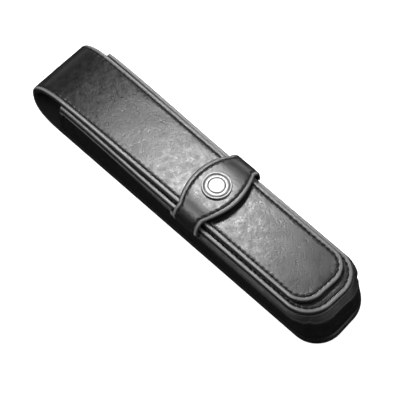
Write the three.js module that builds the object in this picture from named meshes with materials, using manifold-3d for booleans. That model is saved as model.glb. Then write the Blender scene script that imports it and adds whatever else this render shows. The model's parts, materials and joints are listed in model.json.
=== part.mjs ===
// Leather case for fountain pens, lying flat. A stiff boxed pouch is open at one end. Its back
// strip turns over in a loose loop at that mouth and comes back as a flap, whose tongue slides
// under a keeper strap with a round metal badge. Millimetres, +Z up, +X towards the closed end.
import * as THREE from 'three';
import { mergeVertices } from 'three/addons/utils/BufferGeometryUtils.js';
import Module from 'manifold-3d';

const wasm = await Module();
wasm.setup();

// ---- Driving dimensions -------------------------------------------------------------------
// Lengths
const CASE_LENGTH = 168;          // nose of the fold to the closed end of the back
const FOLD_REACH = 18;            // how far the loop stands out past the mouth
const FRONT_SETBACK = 5.6;        // closed end of the back to the closed end of the front
const TIP_SETBACK = 5.2;          // closed end of the front to the tip of the flap
const ARCH_LENGTH = 61;           // free length of flap that arches between loop and tongue
const FOLD_OVERLAP = 2;           // flat stretch of flap that stays with the loop
// Widths
const BACK_WIDTH_MOUTH = 34.6;
const BACK_WIDTH_END = 35.6;
const FRONT_WIDTH_MOUTH = 34;
const FRONT_WIDTH_END = 34.2;
const FLAP_WIDTH_MOUTH = 30.2;
const FLAP_WIDTH_TIP = 29.4;
const FOLD_WIDTH_NOSE = 30.8;
// Heights
const FLAP_TOP = 20.9;            // table to the top face of the closed flap
const NOSE_HEIGHT = 9;            // table to the foremost line of the loop
// Corners, seen from above
const BACK_CORNER = 15;
const FRONT_CORNER = 13;
const TONGUE_CORNER = 10;
// Sheets: each panel is leather over board over lining, glued
const LEATHER = 1.1;
const BOARD = 0.6;
const LINING = 0.4;
const GLUE_LINE = 0.1;
const BOARD_MARGIN = 4.2;         // leather edge to the edge of the board inside it
const BOARD_SLACK = 0.3;
const PANEL_LEATHER = LEATHER + GLUE_LINE + BOARD;
const PANEL = PANEL_LEATHER + GLUE_LINE + LINING;
// Gusset: the side walls, one strip bent round the closed end
const GUSSET_LEATHER = 1.2;
const GUSSET_FLANGE = 0.9;        // thickness of the edges that are turned out and sewn
const GUSSET_RECESS = 1.6;        // panel edge to the wall's outer face
const FLANGE_LIP = 0.3;           // how far the upper turned edge shows past the front
// Keeper strap
const KEEPER_CENTRE = 9.6;        // along the case
const KEEPER_LENGTH = 22.6;       // along the case, at its widest
const KEEPER_BOW = 4.3;           // how much each long edge bows out
const KEEPER_BOW_REACH = 15.4;    // middle of the strap to where its edges run straight down
const KEEPER_ARCH = 2.5;          // height of the underside's middle above the flap
const KEEPER_SQUARENESS = 3;      // 2 would arch it like half an ellipse
const KEEPER_SIDE_CLEARANCE = 0.3;
const LUG_MARGIN = 0.6;            // the gusset's turned edge past each side of a keeper foot
const KEEPER_LEATHER = 1.1;
const KEEPER_LINING = 0.35;
// Badge
const BADGE_DIAMETER = 12.8;
const BADGE_RISE = 1.3;
const BADGE_RIM = 0.9;
const BADGE_SHOULDER = 0.55;      // share of the rise that the dome's edge keeps
const BADGE_RIM_FOOT = 0.6;       // share of the rise where the rim's upright side ends
const BADGE_RIM_CREST = 0.85;     // share of the rise at the middle of the rim
const BADGE_POST_DIAMETER = 2.2;
const BACKPLATE_DIAMETER = 10;
const BACKPLATE = 0.3;
// Thread
const STITCH_INSET = 1.9;         // edge to the near side of the row
const THREAD = 0.6;
const THREAD_PROUD = 0.15;
const THREAD_STOP = 1.3;          // row end to a folding line
const FOLD_ROW_START = 15;        // degrees above the nose where the flap's rows begin
// Clearances
const REST_GAP = 0.3;             // flap to front panel, and between parts that fold
const HOLE_CLEARANCE = 0.2;
const EPS = 0.02;

// ---- Stations and levels that follow ------------------------------------------------------
const END_X = CASE_LENGTH / 2;
const NOSE_X = -CASE_LENGTH / 2;
const MOUTH_X = NOSE_X + FOLD_REACH;
const HINGE_REAR_X = MOUTH_X + FOLD_OVERLAP;
const HINGE_MID_X = HINGE_REAR_X + ARCH_LENGTH / 2;
const HINGE_TONGUE_X = HINGE_REAR_X + ARCH_LENGTH;
const FLAP_UNDER = FLAP_TOP - PANEL;
const FRONT_TOP = FLAP_UNDER - REST_GAP;
const FRONT_UNDER = FRONT_TOP - PANEL;
const WALL_BOTTOM = PANEL + GLUE_LINE;
const WALL_TOP = FRONT_UNDER - GLUE_LINE;
const KEEPER_THICKNESS = KEEPER_LEATHER + GLUE_LINE + KEEPER_LINING;
const KEEPER_UNDER = FLAP_TOP + KEEPER_ARCH;
const KEEPER_TOP = KEEPER_UNDER + KEEPER_THICKNESS;

const back = { start: MOUTH_X, end: END_X, widths: [BACK_WIDTH_MOUTH, BACK_WIDTH_END], corner: BACK_CORNER };
const front = {
  start: MOUTH_X,
  end: END_X - FRONT_SETBACK,
  widths: [FRONT_WIDTH_MOUTH, FRONT_WIDTH_END],
  corner: FRONT_CORNER,
};
const flap = {
  start: MOUTH_X,
  end: front.end - TIP_SETBACK,
  widths: [FLAP_WIDTH_MOUTH, FLAP_WIDTH_TIP],
  corner: TONGUE_CORNER,
};

// ---- Materials ----------------------------------------------------------------------------
const leather = () => new THREE.MeshStandardMaterial({ color: 0x1c1c1d, roughness: 0.45, metalness: 0 });
const lining = () => new THREE.MeshStandardMaterial({ color: 0x151515, roughness: 0.9, metalness: 0 });
const board = () => new THREE.MeshStandardMaterial({ color: 0x8a7a62, roughness: 0.95, metalness: 0 });
const thread = () => new THREE.MeshStandardMaterial({ color: 0x0c0c0c, roughness: 0.7, metalness: 0 });
const silver = () => new THREE.MeshStandardMaterial({ color: 0xd9dadc, roughness: 0.25, metalness: 1 });

const CURVE_STEPS = 9;            // straight steps in each rounded corner
const ROUND_STEPS = 40;           // straight steps round a disc

// ---- Solids -------------------------------------------------------------------------------
function toSolid(geometry) {
  const plain = geometry.index ? geometry.toNonIndexed() : geometry.clone();
  plain.deleteAttribute('normal');
  plain.deleteAttribute('uv');
  const merged = mergeVertices(plain, 1e-4);
  return new wasm.Manifold(new wasm.Mesh({
    numProp: 3,
    vertProperties: new Float32Array(merged.attributes.position.array),
    triVerts: new Uint32Array(merged.index.array),
  }));
}

function toGeometry(solid) {
  const mesh = solid.getMesh();
  const geometry = new THREE.BufferGeometry();
  geometry.setAttribute('position', new THREE.BufferAttribute(new Float32Array(mesh.vertProperties), 3));
  geometry.setIndex(new THREE.BufferAttribute(new Uint32Array(mesh.triVerts), 1));
  geometry.computeVertexNormals();
  return geometry;
}

function cut(geometry, ...tools) {
  return toGeometry(tools.reduce((solid, tool) => solid.subtract(toSolid(tool)), toSolid(geometry)));
}

function keep(geometry, ...tools) {
  return toGeometry(tools.reduce((solid, tool) => solid.intersect(toSolid(tool)), toSolid(geometry)));
}

function join(geometry, ...others) {
  return toGeometry(others.reduce((solid, other) => solid.add(toSolid(other)), toSolid(geometry)));
}

// A flat sheet: a shape in the XY plane, from z = bottom up to z = top.
function sheet(shape, bottom, top) {
  const geometry = new THREE.ExtrudeGeometry(shape, {
    depth: top - bottom, bevelEnabled: false, curveSegments: CURVE_STEPS,
  });
  return geometry.translate(0, 0, bottom);
}

// A shape drawn in the XZ plane, from y = -width / 2 to y = width / 2.
function acrossCase(shape, width, centre = 0) {
  const geometry = new THREE.ExtrudeGeometry(shape, { depth: width, bevelEnabled: false });
  return geometry.rotateX(Math.PI / 2).translate(0, centre + width / 2, 0);
}

// A shape drawn in the YZ plane, from x = start to x = end.
function alongCase(shape, start, end) {
  const geometry = new THREE.ExtrudeGeometry(shape, { depth: end - start, bevelEnabled: false });
  return geometry.rotateY(Math.PI / 2).rotateX(Math.PI / 2).translate(start, 0, 0);
}

function block(start, end, width, bottom, top, centre = 0) {
  const geometry = new THREE.BoxGeometry(end - start, width, top - bottom);
  return geometry.translate((start + end) / 2, centre, (bottom + top) / 2);
}

function disc(radius, bottom, top, x) {
  const geometry = new THREE.CylinderGeometry(radius, radius, top - bottom, ROUND_STEPS);
  return geometry.rotateX(Math.PI / 2).translate(x, 0, (bottom + top) / 2);
}

// ---- Outlines -----------------------------------------------------------------------------
// Half the width of a tapered panel at one station.
function halfWidth(panel, x) {
  const share = (x - panel.start) / (panel.end - panel.start);
  return (panel.widths[0] + (panel.widths[1] - panel.widths[0]) * share) / 2;
}

// The U-shaped edge of a panel, set in by inset: down the -Y side, round the closed end and
// back along the +Y side to the station it began at.
function edgePoints(panel, inset, start) {
  const corner = panel.corner - inset;
  const centreX = panel.end - panel.corner;
  const side = halfWidth(panel, centreX) - inset;
  const points = [new THREE.Vector2(start, inset - halfWidth(panel, start))];
  for (const turn of [-1, 1]) {
    for (let step = 0; step <= CURVE_STEPS; step += 1) {
      const angle = ((turn < 0 ? -1 : 0) + step / CURVE_STEPS) * (Math.PI / 2);
      const centreY = turn * (side - corner);
      points.push(new THREE.Vector2(centreX + corner * Math.cos(angle), centreY + corner * Math.sin(angle)));
    }
  }
  points.push(new THREE.Vector2(start, halfWidth(panel, start) - inset));
  return points;
}

function outline(panel, inset = 0, start = panel.start) {
  return new THREE.Shape(edgePoints(panel, inset, start));
}

// A U-shaped band that follows a panel's edge, between two insets.
function band(panel, outerInset, innerInset, start) {
  return new THREE.Shape([
    ...edgePoints(panel, outerInset, start),
    ...edgePoints(panel, innerInset, start).reverse(),
  ]);
}

// A straight-sided slice of a tapered panel between two stations.
function slice(panel, start, end, inset = 0) {
  const a = halfWidth(panel, start) - inset;
  const b = halfWidth(panel, end) - inset;
  return new THREE.Shape([[start, -a], [end, -b], [end, b], [start, a]].map((p) => new THREE.Vector2(...p)));
}

// One side's row of stitching on a slice, side = -1 or 1.
function stitchRow(panel, start, end, side) {
  const inner = STITCH_INSET + THREAD;
  const rows = [[start, STITCH_INSET], [end, STITCH_INSET], [end, inner], [start, inner]];
  const points = rows.map(([x, inset]) => new THREE.Vector2(x, side * (halfWidth(panel, x) - inset)));
  return new THREE.Shape(side < 0 ? points : points.reverse());
}

// ---- Panels -------------------------------------------------------------------------------
const group = new THREE.Group();

function add(name, geometry, material, parent = group) {
  const mesh = new THREE.Mesh(geometry, material);
  mesh.name = name;
  parent.add(mesh);
}

// Leather with its edges turned round a board, the board, and the lining that closes it.
// face = -1 puts the leather underneath, as on the back.
function addPanel(name, panel, low, face, start = panel.start) {
  const leatherLow = face < 0 ? low : low + LINING + GLUE_LINE;
  const skin = sheet(outline(panel, 0, start), leatherLow, leatherLow + PANEL_LEATHER);
  const pocketLow = face < 0 ? low + LEATHER : leatherLow - EPS;
  const pocketTop = face < 0 ? leatherLow + PANEL_LEATHER + EPS : leatherLow + PANEL_LEATHER - LEATHER;
  const pocket = sheet(outline(panel, BOARD_MARGIN, start + BOARD_MARGIN), pocketLow, pocketTop);
  const boardLow = face < 0 ? low + LEATHER + GLUE_LINE : leatherLow;
  const boardInset = BOARD_MARGIN + BOARD_SLACK;
  const liningLow = face < 0 ? low + PANEL - LINING : low;
  add(`${name}_leather`, cut(skin, pocket), leather());
  const stiffener = outline(panel, boardInset, start + boardInset);
  add(`${name}_board`, sheet(stiffener, boardLow, boardLow + BOARD), board());
  add(`${name}_lining`, sheet(outline(panel, LINING, start), liningLow, liningLow + LINING), lining());
}

// ---- Back: the flat part of the long strip, with its seam in a groove ---------------------
const GROOVE_DEPTH = THREAD_PROUD + HOLE_CLEARANCE;
addPanel('back', back, 0, -1);
const backLeather = group.getObjectByName('back_leather');
const grooveStart = MOUTH_X + THREAD_STOP;
const grooveInset = STITCH_INSET - HOLE_CLEARANCE;
const grooveInner = STITCH_INSET + THREAD + HOLE_CLEARANCE;
const groove = sheet(band(back, grooveInset, grooveInner, grooveStart), -EPS, GROOVE_DEPTH);
backLeather.geometry = cut(backLeather.geometry, groove);
const backRow = band(back, STITCH_INSET, STITCH_INSET + THREAD, grooveStart + HOLE_CLEARANCE);
const backRowTop = GROOVE_DEPTH - GLUE_LINE;
add('back_thread', sheet(backRow, backRowTop - THREAD_PROUD, backRowTop), thread());

// ---- Fold: the loop where the strip turns over --------------------------------------------
// The loop's side view is half an egg: two quarter ellipses that meet at the nose.
function loopPoints(depthIn, from = -90, to = 90) {
  const points = [];
  const steps = 4 * CURVE_STEPS;
  for (let step = 0; step <= steps; step += 1) {
    const angle = THREE.MathUtils.degToRad(from + ((to - from) * step) / steps);
    const rise = angle < 0 ? NOSE_HEIGHT - depthIn : FLAP_TOP - NOSE_HEIGHT - depthIn;
    points.push(new THREE.Vector2(
      MOUTH_X - (FOLD_REACH - depthIn) * Math.cos(angle), NOSE_HEIGHT + rise * Math.sin(angle)));
  }
  return points;
}

function loopSheet(outerDepth, innerDepth) {
  const end = HINGE_REAR_X - REST_GAP / 2;
  const outer = [...loopPoints(outerDepth), new THREE.Vector2(end, FLAP_TOP - outerDepth)];
  const inner = [...loopPoints(innerDepth), new THREE.Vector2(end, FLAP_TOP - innerDepth)];
  return acrossCase(new THREE.Shape([...outer, ...inner.reverse()]), BACK_WIDTH_MOUTH + 2);
}

// Seen end on, the strip narrows from the back's width to the flap's on its way round.
function loopTaper(inset) {
  const sides = [
    [BACK_WIDTH_MOUTH, -EPS], [FOLD_WIDTH_NOSE, NOSE_HEIGHT], [FLAP_WIDTH_MOUTH, FLAP_TOP + EPS],
  ].map(([width, z]) => [width / 2 - inset, z]);
  const right = sides.map(([y, z]) => new THREE.Vector2(y, z));
  const left = sides.map(([y, z]) => new THREE.Vector2(-y, z)).reverse();
  return alongCase(new THREE.Shape([...right, ...left]), NOSE_X - 1, HINGE_REAR_X);
}

add('fold_leather', keep(loopSheet(0, PANEL_LEATHER), loopTaper(0)), leather());
add('fold_lining', keep(loopSheet(PANEL_LEATHER + GLUE_LINE, PANEL), loopTaper(LINING)), lining());
for (const [side, word] of [[-1, 'near'], [1, 'far']]) {
  const rowEnd = HINGE_REAR_X - THREAD_STOP;
  const outer = [
    ...loopPoints(-THREAD_PROUD, FOLD_ROW_START, 90), new THREE.Vector2(rowEnd, FLAP_TOP + THREAD_PROUD)];
  const inner = [...loopPoints(0, FOLD_ROW_START, 90), new THREE.Vector2(rowEnd, FLAP_TOP)];
  const row = new THREE.Shape([...outer, ...inner.reverse()]);
  const y = side * (FLAP_WIDTH_MOUTH / 2 - STITCH_INSET - THREAD / 2);
  add(`fold_thread_${word}`, acrossCase(row, THREAD, y), thread());
}

// ---- Gusset: walls that lean in from the back's outline to the front's --------------------
const gussetStart = MOUTH_X + REST_GAP;

// Moves each point of an upright wall inwards with its height.
function lean(geometry) {
  const position = geometry.attributes.position;
  const reach = (front.end - gussetStart) / (back.end - gussetStart) - 1;
  const narrow = FRONT_WIDTH_END / BACK_WIDTH_END - 1;
  for (let i = 0; i < position.count; i += 1) {
    const share = (position.getZ(i) - WALL_BOTTOM) / (WALL_TOP - WALL_BOTTOM);
    position.setX(i, gussetStart + (position.getX(i) - gussetStart) * (1 + reach * share));
    position.setY(i, position.getY(i) * (1 + narrow * share));
  }
  return geometry;
}

const wallInner = GUSSET_RECESS + GUSSET_LEATHER;
const wall = lean(sheet(band(back, GUSSET_RECESS, wallInner, gussetStart), WALL_BOTTOM, WALL_TOP));
const lowerFlange = sheet(
  band(back, REST_GAP, wallInner, gussetStart), WALL_BOTTOM, WALL_BOTTOM + GUSSET_FLANGE);
const upperFlange = sheet(
  band(front, -FLANGE_LIP, wallInner, gussetStart), WALL_TOP - GUSSET_FLANGE, WALL_TOP);
// Under each foot of the keeper the turned edge stands out to carry it.
const keeperHalf = halfWidth(front, KEEPER_CENTRE) + KEEPER_SIDE_CLEARANCE + KEEPER_THICKNESS;
const lugs = [-1, 1].map((side) => {
  const root = halfWidth(front, KEEPER_CENTRE) - GUSSET_RECESS;
  const centre = (side * (root + keeperHalf + FLANGE_LIP)) / 2;
  const reach = KEEPER_LENGTH / 2 - KEEPER_BOW + LUG_MARGIN;
  return block(
    KEEPER_CENTRE - reach, KEEPER_CENTRE + reach,
    keeperHalf + FLANGE_LIP - root, WALL_TOP - GUSSET_FLANGE, WALL_TOP, centre);
});
const hollowBand = band(back, wallInner, wallInner + FRONT_SETBACK, gussetStart);
const hollow = lean(sheet(hollowBand, WALL_BOTTOM, WALL_TOP));
add('gusset_leather', cut(join(wall, lowerFlange, upperFlange, ...lugs), hollow), leather());
const liningBand = band(back, wallInner + GLUE_LINE, wallInner + GLUE_LINE + LINING, gussetStart);
add('gusset_lining', lean(sheet(liningBand, WALL_BOTTOM, WALL_TOP)), lining());

// ---- Front --------------------------------------------------------------------------------
addPanel('front', front, FRONT_UNDER, 1);
const frontRow = band(front, STITCH_INSET, STITCH_INSET + THREAD, MOUTH_X + THREAD_STOP + 2 * THREAD);
add('front_thread', sheet(frontRow, FRONT_TOP, FRONT_TOP + THREAD_PROUD), thread());
const mouthRow = slice(front, MOUTH_X + THREAD_STOP - THREAD, MOUTH_X + THREAD_STOP, STITCH_INSET);
add('mouth_thread', sheet(mouthRow, FRONT_TOP, FRONT_TOP + THREAD_PROUD), thread());

// ---- Keeper strap -------------------------------------------------------------------------
// Its section across the case, grown by offset from the underside: a squared-off arch from the
// seam on one side to the seam on the other.
function keeperSection(offset) {
  const half = halfWidth(front, KEEPER_CENTRE) + KEEPER_SIDE_CLEARANCE + offset;
  const rise = KEEPER_UNDER + offset - FRONT_UNDER;
  const power = 2 / KEEPER_SQUARENESS;
  const points = [];
  for (let step = 0; step <= 4 * CURVE_STEPS; step += 1) {
    const angle = Math.PI * (1 - step / (4 * CURVE_STEPS));
    const across = Math.cos(angle);
    points.push(new THREE.Vector2(
      half * Math.sign(across) * Math.abs(across) ** power,
      FRONT_UNDER + rise * Math.max(0, Math.sin(angle)) ** power));
  }
  return points;
}

function keeperShell(innerOffset, outerOffset) {
  const ring = [...keeperSection(outerOffset), ...keeperSection(innerOffset).reverse()];
  return alongCase(new THREE.Shape(ring), KEEPER_CENTRE - KEEPER_LENGTH, KEEPER_CENTRE + KEEPER_LENGTH);
}

// Its plan: long edges that bow out over the flap and run straight down its sides.
function keeperPlan(inset) {
  const reach = keeperHalf + 1;
  const points = [];
  for (const end of [1, -1]) {
    for (let step = 0; step <= 4 * CURVE_STEPS; step += 1) {
      const y = end * reach * (step / (2 * CURVE_STEPS) - 1);
      const share = Math.min(1, Math.abs(y) / KEEPER_BOW_REACH);
      const x = KEEPER_CENTRE + end * (KEEPER_LENGTH / 2 - inset - KEEPER_BOW * share * share);
      points.push(new THREE.Vector2(x, y));
    }
  }
  return points;
}

function keeperPiece(innerOffset, outerOffset, inset) {
  const plan = sheet(new THREE.Shape(keeperPlan(inset)), FRONT_UNDER - 1, KEEPER_TOP + 1);
  return keep(keeperShell(innerOffset, outerOffset), plan);
}

const keeperLeatherBottom = KEEPER_LINING + GLUE_LINE;
const keeperHole = (diameter) =>
  disc(diameter / 2 + HOLE_CLEARANCE, KEEPER_UNDER - 1, KEEPER_TOP + 1, KEEPER_CENTRE);
const postHole = keeperHole(BADGE_POST_DIAMETER);
add('keeper_leather', cut(keeperPiece(keeperLeatherBottom, KEEPER_THICKNESS, 0), postHole), leather());
const plateHole = keeperHole(BACKPLATE_DIAMETER);
add('keeper_lining', cut(keeperPiece(0, KEEPER_LINING, LINING), plateHole), lining());
for (const [side, word] of [[-1, 'rear'], [1, 'front']]) {
  const edge = (inset) => keeperPlan(inset).filter((p) => (p.x - KEEPER_CENTRE) * side > 0);
  const row = new THREE.Shape([...edge(STITCH_INSET), ...edge(STITCH_INSET + THREAD).reverse()]);
  const rowBlock = sheet(row, FRONT_TOP, KEEPER_TOP + 1);
  const shell = keeperShell(KEEPER_THICKNESS, KEEPER_THICKNESS + THREAD_PROUD);
  add(`keeper_thread_${word}`, keep(shell, rowBlock), thread());
}

// ---- Badge: a domed disc with a rim, its post through the strap, and the plate behind -----
function badgeProfile() {
  const radius = BADGE_DIAMETER / 2;
  const post = BADGE_POST_DIAMETER / 2;
  const postFoot = -KEEPER_LEATHER;
  const dome = [];
  for (let step = 0; step <= CURVE_STEPS; step += 1) {
    const r = (radius - BADGE_RIM) * (1 - step / CURVE_STEPS);
    const swell = (1 - BADGE_SHOULDER) * Math.cos((r / radius) * (Math.PI / 2));
    dome.push(new THREE.Vector2(r, BADGE_RISE * (BADGE_SHOULDER + swell)));
  }
  return [
    new THREE.Vector2(0, postFoot), new THREE.Vector2(post, postFoot), new THREE.Vector2(post, 0),
    new THREE.Vector2(radius, 0), new THREE.Vector2(radius, BADGE_RISE * BADGE_RIM_FOOT),
    new THREE.Vector2(radius - BADGE_RIM / 2, BADGE_RISE * BADGE_RIM_CREST), ...dome,
  ];
}

const badge = new THREE.LatheGeometry(badgeProfile(), ROUND_STEPS);
badge.rotateX(Math.PI / 2).translate(KEEPER_CENTRE, 0, KEEPER_TOP);
add('badge', toGeometry(toSolid(badge)), silver());
const backplate = disc(BACKPLATE_DIAMETER / 2, KEEPER_UNDER, KEEPER_UNDER + BACKPLATE, KEEPER_CENTRE);
add('badge_backplate', backplate, silver());

// ---- Flap: two arching lengths and the tongue ---------------------------------------------
const flapLeatherLow = FLAP_UNDER + LINING + GLUE_LINE;
const arches = [
  ['flap_rear', HINGE_REAR_X + REST_GAP / 2, HINGE_MID_X - REST_GAP / 2],
  ['flap_mid', HINGE_MID_X + REST_GAP / 2, HINGE_TONGUE_X - REST_GAP / 2],
];
for (const [name, start, end] of arches) {
  add(`${name}_leather`, sheet(slice(flap, start, end), flapLeatherLow, FLAP_TOP), leather());
  add(`${name}_lining`, sheet(slice(flap, start, end, LINING), FLAP_UNDER, FLAP_UNDER + LINING), lining());
  for (const [side, word] of [[-1, 'near'], [1, 'far']]) {
    const row = stitchRow(flap, start + THREAD_STOP, end - THREAD_STOP, side);
    add(`${name}_thread_${word}`, sheet(row, FLAP_TOP, FLAP_TOP + THREAD_PROUD), thread());
  }
}

const tongueStart = HINGE_TONGUE_X + REST_GAP / 2;
addPanel('tongue', flap, FLAP_UNDER, 1, tongueStart);
const tongueRow = band(flap, STITCH_INSET, STITCH_INSET + THREAD, tongueStart + THREAD_STOP);
add('tongue_thread', sheet(tongueRow, FLAP_TOP, FLAP_TOP + THREAD_PROUD), thread());

export default group;
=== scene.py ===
"""Looks of the leather fountain pen case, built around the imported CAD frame.

Shapes are worked out in millimetres in the CAD frame (+X to the closed end, +Z up) and written
to meshes in metres. Every leather piece is a closed sheet with a turned edge, a sewn channel and
separate stitches. The long strip is worked out flat and then bent round the loop.
"""
import json
import math

import bmesh
import bpy
import numpy as np
from mathutils import Matrix, Vector


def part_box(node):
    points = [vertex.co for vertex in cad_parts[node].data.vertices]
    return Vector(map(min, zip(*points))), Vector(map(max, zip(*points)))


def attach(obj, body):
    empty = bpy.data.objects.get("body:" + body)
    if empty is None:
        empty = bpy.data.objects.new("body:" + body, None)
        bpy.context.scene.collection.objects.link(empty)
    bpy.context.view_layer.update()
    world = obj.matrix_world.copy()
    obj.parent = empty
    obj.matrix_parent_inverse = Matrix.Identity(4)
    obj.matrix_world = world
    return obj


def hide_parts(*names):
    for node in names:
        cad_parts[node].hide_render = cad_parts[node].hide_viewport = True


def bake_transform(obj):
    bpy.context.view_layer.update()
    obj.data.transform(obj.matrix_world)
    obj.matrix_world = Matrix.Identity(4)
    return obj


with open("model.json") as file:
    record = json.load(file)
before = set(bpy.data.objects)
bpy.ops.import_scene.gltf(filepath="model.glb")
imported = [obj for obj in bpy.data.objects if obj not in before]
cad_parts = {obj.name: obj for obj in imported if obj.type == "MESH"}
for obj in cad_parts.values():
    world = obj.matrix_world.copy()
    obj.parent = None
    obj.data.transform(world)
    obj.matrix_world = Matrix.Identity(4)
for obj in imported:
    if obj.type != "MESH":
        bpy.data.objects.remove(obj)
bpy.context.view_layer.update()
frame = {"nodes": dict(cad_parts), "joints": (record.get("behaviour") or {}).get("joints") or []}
MM = 0.001


# ---- Sizes, all from the CAD frame, in millimetres ------------------------------------------
def low(node, axis):
    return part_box(node)[0][axis] / MM


def high(node, axis):
    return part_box(node)[1][axis] / MM


def hinge(name):
    found = next(j for j in frame["joints"] if j["name"] == name)
    return [value / MM for value in found["pos_m"]]


MOUTH = low("back_leather", 0)
END = high("back_leather", 0)
NOSE = low("fold_leather", 0)
TIP = high("tongue_leather", 0)
FRONT_END = high("front_leather", 0)
FLAP_TOP = high("tongue_leather", 2)
FLAP_UNDER = low("tongue_lining", 2)
FRONT_TOP = high("front_leather", 2)
PANEL = FLAP_TOP - FLAP_UNDER
LINING_DEPTH = FLAP_TOP - high("tongue_lining", 2)
LEATHER_DEPTH = FLAP_TOP - low("tongue_leather", 2)
WALL_LOW = low("gusset_leather", 2)
WALL_TOP = high("gusset_leather", 2)
KEEPER_MID = (low("keeper_leather", 0) + high("keeper_leather", 0)) / 2
KEEPER_HALF_LENGTH = (high("keeper_leather", 0) - low("keeper_leather", 0)) / 2
KEEPER_HALF_WIDTH = high("keeper_leather", 1)
KEEPER_TOP = high("keeper_leather", 2)
KEEPER_LEATHER = KEEPER_TOP - high("keeper_lining", 2)
BADGE_RADIUS = (high("badge", 0) - low("badge", 0)) / 2
HINGE_REAR = hinge("flap_lift")
HINGE_MID = hinge("flap_crease")
HINGE_TONGUE = hinge("tongue_draw")

# The flap's taper, from the widths of its two arching lengths where each begins.
REAR_START, MID_START = low("flap_rear_leather", 0), low("flap_mid_leather", 0)
REAR_HALF, MID_HALF = high("flap_rear_leather", 1), high("flap_mid_leather", 1)
FLAP_TAPER = (MID_HALF - REAR_HALF) / (MID_START - REAR_START)
BACK_HALF_MOUTH = high("fold_leather", 1)
BACK_HALF_END = high("back_leather", 1)
FRONT_HALF = high("front_leather", 1)

# Corner radii, seen from above.
BACK_CORNER = 13.5
FRONT_CORNER = 13.0
TONGUE_CORNER = 10.0

# Stitching.
PITCH = 2.65
STITCH_INSET = 2.15
STEPS_PER_STITCH = 8
FLAT_STEP = 1.0         # spacing of a sheet's rows where it has no stitching

# The loop where the strip turns over.
NOSE_HEIGHT = FLAP_TOP * 0.43   # where it reaches furthest out
NOSE_SPREAD = 0.3               # how much wider each half is there than where the flap starts


def flap_half(x):
    return REAR_HALF + FLAP_TAPER * (np.asarray(x, float) - REAR_START)


def back_half(x):
    share = (np.asarray(x, float) - MOUTH) / (END - BACK_CORNER - MOUTH)
    return BACK_HALF_MOUTH + (BACK_HALF_END - BACK_HALF_MOUTH) * share


def front_half(x):
    return FRONT_HALF + 0 * np.asarray(x, float)


def smoothstep(t):
    t = np.clip(t, 0, 1)
    return t * t * (3 - 2 * t)


WAVE_HEIGHT = 0.035


def waviness(s, y):
    """Slow unevenness of hand-worked leather, about a twentieth of a millimetre high."""
    s, y = np.asarray(s, float), np.asarray(y, float)
    waves = np.sin(0.21 * s + 0.6) * np.sin(0.33 * y + 1.1)
    waves = waves + 0.6 * np.sin(0.37 * s - 0.29 * y + 2.0)
    waves = waves + 0.45 * np.sin(0.16 * s + 0.51 * y + 4.0)
    return WAVE_HEIGHT * waves


# ---- The long strip, flat and bent -----------------------------------------------------------
class Strip:
    """Side view of the strip's outer face: the flap's flat top, the loop and the back's face.

    s is the distance along it, 0 where the flat top ends at the loop, positive along the flap.
    """

    STEPS = 600
    DROOP = 0.3             # how far the flap has sunk where the loop begins
    THINNED = 0.32          # how much thinner its leather is skived there
    DROOP_LENGTH = 20.0     # over how much of its length it sinks there
    LEVELLING = 9.0         # over how much of the loop the extra slope dies away
    BEAD_THINNED = 1.1      # the beads stand above the face, so they sink a little more than it

    def __init__(self):
        angle = np.radians(np.linspace(90, -90, self.STEPS))
        reach = MOUTH - NOSE
        rise = np.where(angle > 0, FLAP_TOP - NOSE_HEIGHT, NOSE_HEIGHT)
        x = MOUTH - reach * np.cos(angle)
        z = NOSE_HEIGHT + rise * np.sin(angle)
        step = np.hypot(np.diff(x), np.diff(z))
        self.length = float(step.sum())
        self.s = -np.concatenate([[0], np.cumsum(step)])[::-1]
        self.x, self.z = x[::-1], z[::-1]
        nx = -np.cos(angle) * rise
        nz = np.sin(angle) * reach
        size = np.hypot(nx, nz)
        self.nx, self.nz = (nx / size)[::-1], (nz / size)[::-1]

    def sag(self, x, z):
        """Share of the full sag at x: growing along the flap, then levelling off round the loop."""
        along = np.clip((MOUTH + self.DROOP_LENGTH - x) / self.DROOP_LENGTH, 0, 1)
        past = np.clip(MOUTH - x, 0, self.LEVELLING)
        extra = 2 / self.DROOP_LENGTH * (past - past ** 2 / (2 * self.LEVELLING))
        height = np.clip((z - NOSE_HEIGHT) / (FLAP_TOP - NOSE_HEIGHT), 0, 1)
        return (along ** 2 + extra) * height

    def place(self, s, depth):
        """x and z of points at distance s along the strip and depth below its outer face."""
        s = np.asarray(s, float)
        inside = np.clip(s, -self.length, 0)
        x = np.interp(inside, self.s, self.x)
        z = np.interp(inside, self.s, self.z)
        nx = np.interp(inside, self.s, self.nx)
        nz = np.interp(inside, self.s, self.nz)
        x = x + np.maximum(s, 0) + np.maximum(-self.length - s, 0)
        skin_share = np.clip(1 - np.asarray(depth, float) / LEATHER_DEPTH, 0, self.BEAD_THINNED)
        z = z - self.sag(x, z) * (self.DROOP + self.THINNED * skin_share)
        return x - nx * depth, z - nz * depth

    def at(self, s, across, depth):
        """Points at distance s along, across from the middle line and depth below the face."""
        x, z = self.place(s, depth)
        return np.stack([x, across + 0 * x, z], -1)

    def half(self, s):
        """Half the strip's width: the flap's on top, widening to the back's round the loop."""
        s = np.asarray(s, float)
        _, z = self.place(s, 0)
        top = flap_half(MOUTH + np.maximum(s, 0))
        nose = REAR_HALF + NOSE_SPREAD
        climb = np.clip((z - NOSE_HEIGHT) / (FLAP_TOP - NOSE_HEIGHT), 0, 1)
        round_top = nose + (top - nose) * climb
        under = BACK_HALF_MOUTH + (nose - BACK_HALF_MOUTH) * smoothstep(z / NOSE_HEIGHT)
        return np.where(s >= 0, top, np.where(z > NOSE_HEIGHT, round_top, under))


strip = Strip()


# ---- Meshes ----------------------------------------------------------------------------------
MERGE = 0.004           # points closer than this are joined
SHARP_ANGLE = 70        # degrees; a cut end stays crisp


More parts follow.
